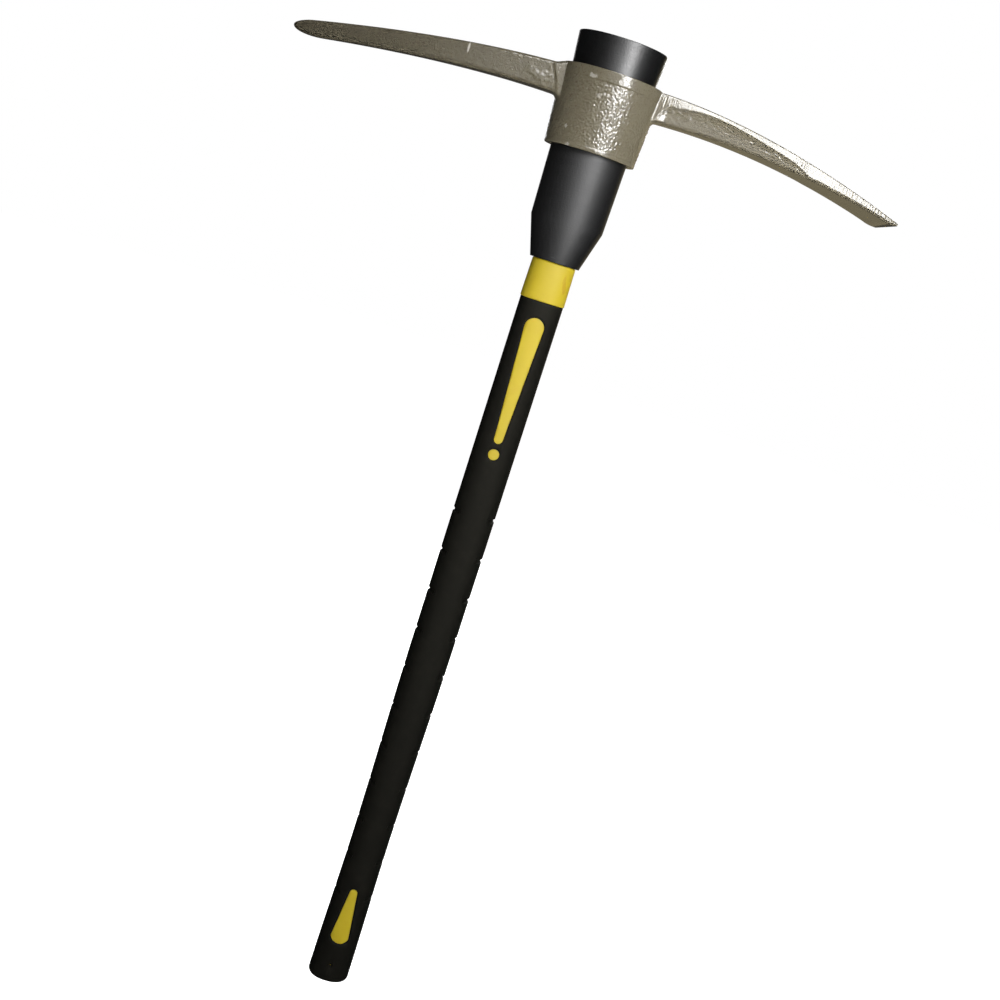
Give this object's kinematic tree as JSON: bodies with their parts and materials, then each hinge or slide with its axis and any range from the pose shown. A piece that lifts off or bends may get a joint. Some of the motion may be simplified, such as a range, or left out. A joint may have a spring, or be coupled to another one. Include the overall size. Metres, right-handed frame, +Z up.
{
  "type": "pick mattock",
  "caption": "Long-handled digging tool: a forged steel head with a pick arm and an adze arm, slipped onto a fibreglass handle with a flared sleeve and a rubber grip.",
  "frame": {"origin": "middle of the flat butt end of the grip, on the handle's axis", "axes": "+Z up along the handle to the head; +X towards the adze's cutting edge, -X towards the pick's point; -Y is the front, the side that the picture shows"},
  "size_m": [0.536, 0.0694, 0.914],
  "materials": {
    "forged_steel": "taupe gloss lacquer over a forged, slightly hammered surface",
    "sleeve_nylon": "moulded black nylon, satin",
    "fibreglass": "pultruded glass fibre in resin, smooth",
    "yellow_plastic": "moulded yellow polypropylene, satin",
    "grip_rubber": "moulded black thermoplastic rubber, matte"
  },
  "bodies": {
    "handle": {"eye_sleeve": "sleeve_nylon", "fibreglass_core": "fibreglass", "handle_jacket": "yellow_plastic", "rubber_grip": "grip_rubber", "long_inlay_front": "yellow_plastic", "long_inlay_rear": "yellow_plastic", "dot_inlay_front": "yellow_plastic", "dot_inlay_rear": "yellow_plastic", "butt_inlay_front": "yellow_plastic", "butt_inlay_rear": "yellow_plastic"},
    "head": {"mattock_head": "forged_steel"}
  },
  "joints": [
    {"name": "head_slide", "type": "slide", "parent": "handle", "child": "head", "axis": [0, 0, -1], "range_m": [0, 0.886]}
  ]
}
